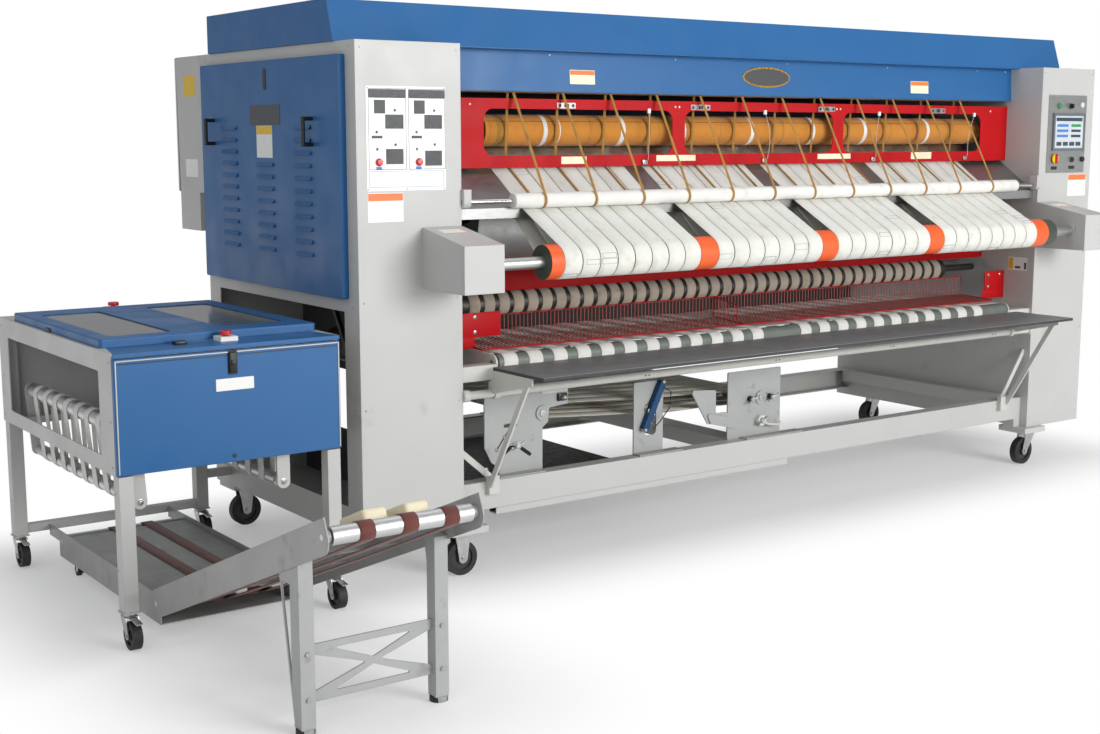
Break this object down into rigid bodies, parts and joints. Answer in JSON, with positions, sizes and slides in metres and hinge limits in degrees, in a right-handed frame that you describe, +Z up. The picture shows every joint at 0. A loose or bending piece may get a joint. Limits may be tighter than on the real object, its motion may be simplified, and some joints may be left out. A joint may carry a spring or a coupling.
{
  "type": "flatwork ironer",
  "caption": "Industrial flatwork ironer with a heated roll, feed aprons, delivery bed, under-machine folder, cross folder and discharge conveyor.",
  "frame": {"origin": "on the floor, under the middle of the whole machine's bounding box", "axes": "+X runs along the rolls from the cross folder's end to the control panel's end, +Y runs from the operator into the machine, +Z is up"},
  "size_m": [4.78, 2.6454, 1.994],
  "materials": {
    "grey_enamel": "satin",
    "blue_enamel": "semi-gloss",
    "red_enamel": "semi-gloss",
    "dark_enamel": "satin",
    "shelf_laminate": "matt, with a black edge",
    "bare_steel": "brushed",
    "zinc": "zinc plated",
    "roll_cover": "woven tan cover",
    "apron_canvas": "woven canvas",
    "tape_cotton": "woven tape",
    "white_belting": "woven belting",
    "brown_belting": "woven belting",
    "roller_steel": "polished",
    "rubber_black": "matt",
    "rubber_tyre": "matt",
    "window_clear": "clear",
    "button_green": "gloss",
    "button_black": "gloss",
    "button_red": "gloss",
    "switch_yellow": "gloss, with a red grip"
  },
  "bodies": {
    "frame": {"base_frame": "grey_enamel", "left_housing": "grey_enamel", "right_housing": "grey_enamel", "top_hood": "blue_enamel", "front_canopy": "blue_enamel", "rear_cover": "grey_enamel", "roll_guard": "red_enamel", "roll_drive": "dark_enamel", "feed_plate": "bare_steel", "feed_aprons": "apron_canvas", "guide_tapes_and_exit_ribbons": "tape_cotton", "finger_guard": "red_enamel", "delivery_bed": "grey_enamel", "delivery_and_folder_belts": "white_belting", "catch_shelf": "shelf_laminate", "shelf_supports": "grey_enamel", "folder_brackets": "grey_enamel", "electric_cabinet": "grey_enamel", "control_panel": "bare_steel", "crossfold_frame": "grey_enamel", "crossfold_belts": "white_belting", "conveyor_frame": "grey_enamel", "conveyor_belts": "brown_belting", "conveyor_stand": "grey_enamel"},
    "cylinder": {"heated_cylinder": "bare_steel"},
    "pressure_roller": {"pressure_roller": "roll_cover"},
    "feed_roller": {"feed_roller": "roller_steel"},
    "guide_roller": {"guide_roller": "roller_steel"},
    "exit_roller": {"exit_roller": "roller_steel"},
    "delivery_roller": {"delivery_roller": "roller_steel"},
    "fold_roller_left": {"fold_roller_left": "roller_steel"},
    "fold_roller_right": {"fold_roller_right": "roller_steel"},
    "crossfold_roller_upper": {"crossfold_roller_upper": "roller_steel"},
    "crossfold_roller_lower": {"crossfold_roller_lower": "roller_steel"},
    "crossfold_roller_right": {"crossfold_roller_right": "roller_steel"},
    "conveyor_discharge_roller": {"conveyor_discharge_roller": "roller_steel"},
    "conveyor_corner_roller": {"conveyor_corner_roller": "roller_steel"},
    "conveyor_tail_roller": {"conveyor_tail_roller": "roller_steel"},
    "tray_wheels": {"tray_wheels": "rubber_black"},
    "wheel_front_left": {"wheel_front_left": "rubber_tyre"},
    "swivel_fork_front_right": {"swivel_fork_front_right": "zinc"},
    "wheel_front_right": {"wheel_front_right": "rubber_tyre"},
    "wheel_rear_left": {"wheel_rear_left": "rubber_tyre"},
    "swivel_fork_rear_right": {"swivel_fork_rear_right": "zinc"},
    "wheel_rear_right": {"wheel_rear_right": "rubber_tyre"},
    "crossfold_caster_front_left": {"crossfold_caster_front_left": "zinc"},
    "crossfold_caster_front_right": {"crossfold_caster_front_right": "zinc"},
    "crossfold_caster_rear_left": {"crossfold_caster_rear_left": "zinc"},
    "crossfold_caster_rear_right": {"crossfold_caster_rear_right": "zinc"},
    "left_end_panel": {"left_end_panel": "blue_enamel"},
    "cabinet_door": {"cabinet_door": "grey_enamel"},
    "crossfold_lid": {"crossfold_lid": "blue_enamel", "lid_windows": "window_clear"},
    "crossfold_front_panel": {"crossfold_front_panel": "blue_enamel"},
    "stop_button_front": {"stop_button_front": "button_red"},
    "stop_button_rear": {"stop_button_rear": "button_red"},
    "start_button": {"start_button": "button_green"},
    "stop_reset_button": {"stop_reset_button": "button_black"},
    "selector_switch": {"selector_switch": "button_black"},
    "main_switch": {"main_switch": "switch_yellow"}
  },
  "joints": [
    {"name": "cylinder_spin", "type": "hinge", "parent": "frame", "child": "cylinder", "pos_m": [0, 0.4575, 1.29], "axis": [1, 0, 0], "continuous": true},
    {"name": "pressure_roller_spin", "type": "hinge", "parent": "frame", "child": "pressure_roller", "pos_m": [0, 0.1125, 1.566], "axis": [1, 0, 0], "continuous": true},
    {"name": "feed_roller_spin", "type": "hinge", "parent": "frame", "child": "feed_roller", "pos_m": [0, -0.3575, 1.12], "axis": [1, 0, 0], "continuous": true},
    {"name": "guide_roller_spin", "type": "hinge", "parent": "frame", "child": "guide_roller", "pos_m": [0, -0.1725, 1.322], "axis": [1, 0, 0], "continuous": true},
    {"name": "exit_roller_spin", "type": "hinge", "parent": "frame", "child": "exit_roller", "pos_m": [0, 0.1825, 0.921], "axis": [1, 0, 0], "continuous": true},
    {"name": "delivery_roller_spin", "type": "hinge", "parent": "frame", "child": "delivery_roller", "pos_m": [0, -0.1325, 0.75], "axis": [1, 0, 0], "continuous": true},
    {"name": "fold_roller_left_spin", "type": "hinge", "parent": "frame", "child": "fold_roller_left", "pos_m": [-0.737, 0.4225, 0.536], "axis": [0, 1, 0], "continuous": true},
    {"name": "fold_roller_right_spin", "type": "hinge", "parent": "frame", "child": "fold_roller_right", "pos_m": [0.366, 0.4225, 0.482], "axis": [0, 1, 0], "continuous": true},
    {"name": "crossfold_roller_upper_spin", "type": "hinge", "parent": "frame", "child": "crossfold_roller_upper", "pos_m": [-2.32, 0.3225, 0.657], "axis": [0, 1, 0], "continuous": true},
    {"name": "crossfold_roller_lower_spin", "type": "hinge", "parent": "frame", "child": "crossfold_roller_lower", "pos_m": [-2.305, 0.3225, 0.441], "axis": [0, 1, 0], "continuous": true},
    {"name": "crossfold_roller_right_spin", "type": "hinge", "parent": "frame", "child": "crossfold_roller_right", "pos_m": [-1.825, 0.3225, 0.441], "axis": [0, 1, 0], "continuous": true},
    {"name": "discharge_roller_spin", "type": "hinge", "parent": "frame", "child": "conveyor_discharge_roller", "pos_m": [-2.031, -1.2875, 0.568], "axis": [1, 0, 0], "continuous": true},
    {"name": "corner_roller_spin", "type": "hinge", "parent": "frame", "child": "conveyor_corner_roller", "pos_m": [-2.031, -0.1475, 0.104], "axis": [1, 0, 0], "continuous": true},
    {"name": "tail_roller_spin", "type": "hinge", "parent": "frame", "child": "conveyor_tail_roller", "pos_m": [-2.031, 0.7575, 0.104], "axis": [1, 0, 0], "continuous": true},
    {"name": "tray_wheels_spin", "type": "hinge", "parent": "frame", "child": "tray_wheels", "pos_m": [-2.031, 0.6485, 0.02], "axis": [1, 0, 0], "continuous": true},
    {"name": "wheel_front_left_spin", "type": "hinge", "parent": "frame", "child": "wheel_front_left", "pos_m": [-1.128, -0.1295, 0.0625], "axis": [0, 1, 0], "continuous": true},
    {"name": "swivel_front_right", "type": "hinge", "parent": "frame", "child": "swivel_fork_front_right", "pos_m": [2.068, -0.1295, 0.154], "axis": [0, 0, 1], "continuous": true},
    {"name": "wheel_front_right_spin", "type": "hinge", "parent": "swivel_fork_front_right", "child": "wheel_front_right", "pos_m": [2.034, -0.1295, 0.0625], "axis": [0, 1, 0], "continuous": true},
    {"name": "wheel_rear_left_spin", "type": "hinge", "parent": "frame", "child": "wheel_rear_left", "pos_m": [-1.453, 0.9725, 0.0625], "axis": [0, 1, 0], "continuous": true},
    {"name": "swivel_rear_right", "type": "hinge", "parent": "frame", "child": "swivel_fork_rear_right", "pos_m": [2.219, 0.9725, 0.154], "axis": [0, 0, 1], "continuous": true},
    {"name": "wheel_rear_right_spin", "type": "hinge", "parent": "swivel_fork_rear_right", "child": "wheel_rear_right", "pos_m": [2.185, 0.9725, 0.0625], "axis": [0, 1, 0], "continuous": true},
    {"name": "crossfold_swivel_front_left", "type": "hinge", "parent": "frame", "child": "crossfold_caster_front_left", "pos_m": [-2.363, -0.1985, 0.105], "axis": [0, 0, 1], "continuous": true},
    {"name": "crossfold_swivel_front_right", "type": "hinge", "parent": "frame", "child": "crossfold_caster_front_right", "pos_m": [-1.667, -0.1985, 0.105], "axis": [0, 0, 1], "continuous": true},
    {"name": "crossfold_swivel_rear_left", "type": "hinge", "parent": "frame", "child": "crossfold_caster_rear_left", "pos_m": [-2.363, 0.9055, 0.105], "axis": [0, 0, 1], "continuous": true},
    {"name": "crossfold_swivel_rear_right", "type": "hinge", "parent": "frame", "child": "crossfold_caster_rear_right", "pos_m": [-1.667, 0.9055, 0.105], "axis": [0, 0, 1], "continuous": true},
    {"name": "end_panel_slide", "type": "slide", "parent": "frame", "child": "left_end_panel", "axis": [-1, 0, 0], "range_m": [0, 0.06]},
    {"name": "cabinet_door_hinge", "type": "hinge", "parent": "frame", "child": "cabinet_door", "pos_m": [-1.04, 1.3225, 1.59], "axis": [0, 0, -1], "range_deg": [0, 110]},
    {"name": "lid_hinge", "type": "hinge", "parent": "frame", "child": "crossfold_lid", "pos_m": [-1.652, 0.3525, 0.9103], "axis": [0, 1, 0], "range_deg": [0, 85]},
    {"name": "front_panel_hinge", "type": "hinge", "parent": "frame", "child": "crossfold_front_panel", "pos_m": [-2.015, -0.2255, 0.54], "axis": [1, 0, 0], "range_deg": [0, 90]},
    {"name": "stop_button_front_press", "type": "slide", "parent": "frame", "child": "stop_button_front", "axis": [0, 0, -1], "range_m": [0, 0.005], "stiffness_N_per_m": 2000},
    {"name": "stop_button_rear_press", "type": "slide", "parent": "frame", "child": "stop_button_rear", "axis": [0, 0, -1], "range_m": [0, 0.005], "stiffness_N_per_m": 2000},
    {"name": "start_button_press", "type": "slide", "parent": "frame", "child": "start_button", "axis": [0, 1, 0], "range_m": [0, 0.005], "stiffness_N_per_m": 1500},
    {"name": "stop_reset_button_press", "type": "slide", "parent": "frame", "child": "stop_reset_button", "axis": [0, 1, 0], "range_m": [0, 0.005], "stiffness_N_per_m": 1500},
    {"name": "selector_turn", "type": "hinge", "parent": "frame", "child": "selector_switch", "pos_m": [2.211, -0.1775, 1.682], "axis": [0, 1, 0], "range_deg": [-45, 45]},
    {"name": "main_switch_turn", "type": "hinge", "parent": "frame", "child": "main_switch", "pos_m": [2.107, -0.1775, 1.441], "axis": [0, 1, 0], "range_deg": [0, 90]}
  ],
  "couplings": [
    {"joint": "pressure_roller_spin", "follows": "cylinder_spin", "ratio": -6.5517},
    {"joint": "feed_roller_spin", "follows": "cylinder_spin", "ratio": 6.3333},
    {"joint": "exit_roller_spin", "follows": "cylinder_spin", "ratio": -8.2162},
    {"joint": "delivery_roller_spin", "follows": "cylinder_spin", "ratio": -12.063},
    {"joint": "fold_roller_right_spin", "follows": "fold_roller_left_spin", "ratio": 1},
    {"joint": "crossfold_roller_lower_spin", "follows": "crossfold_roller_upper_spin", "ratio": 1.3218},
    {"joint": "corner_roller_spin", "follows": "discharge_roller_spin", "ratio": 1.0842},
    {"joint": "tail_roller_spin", "follows": "discharge_roller_spin", "ratio": 1.0842}
  ]
}
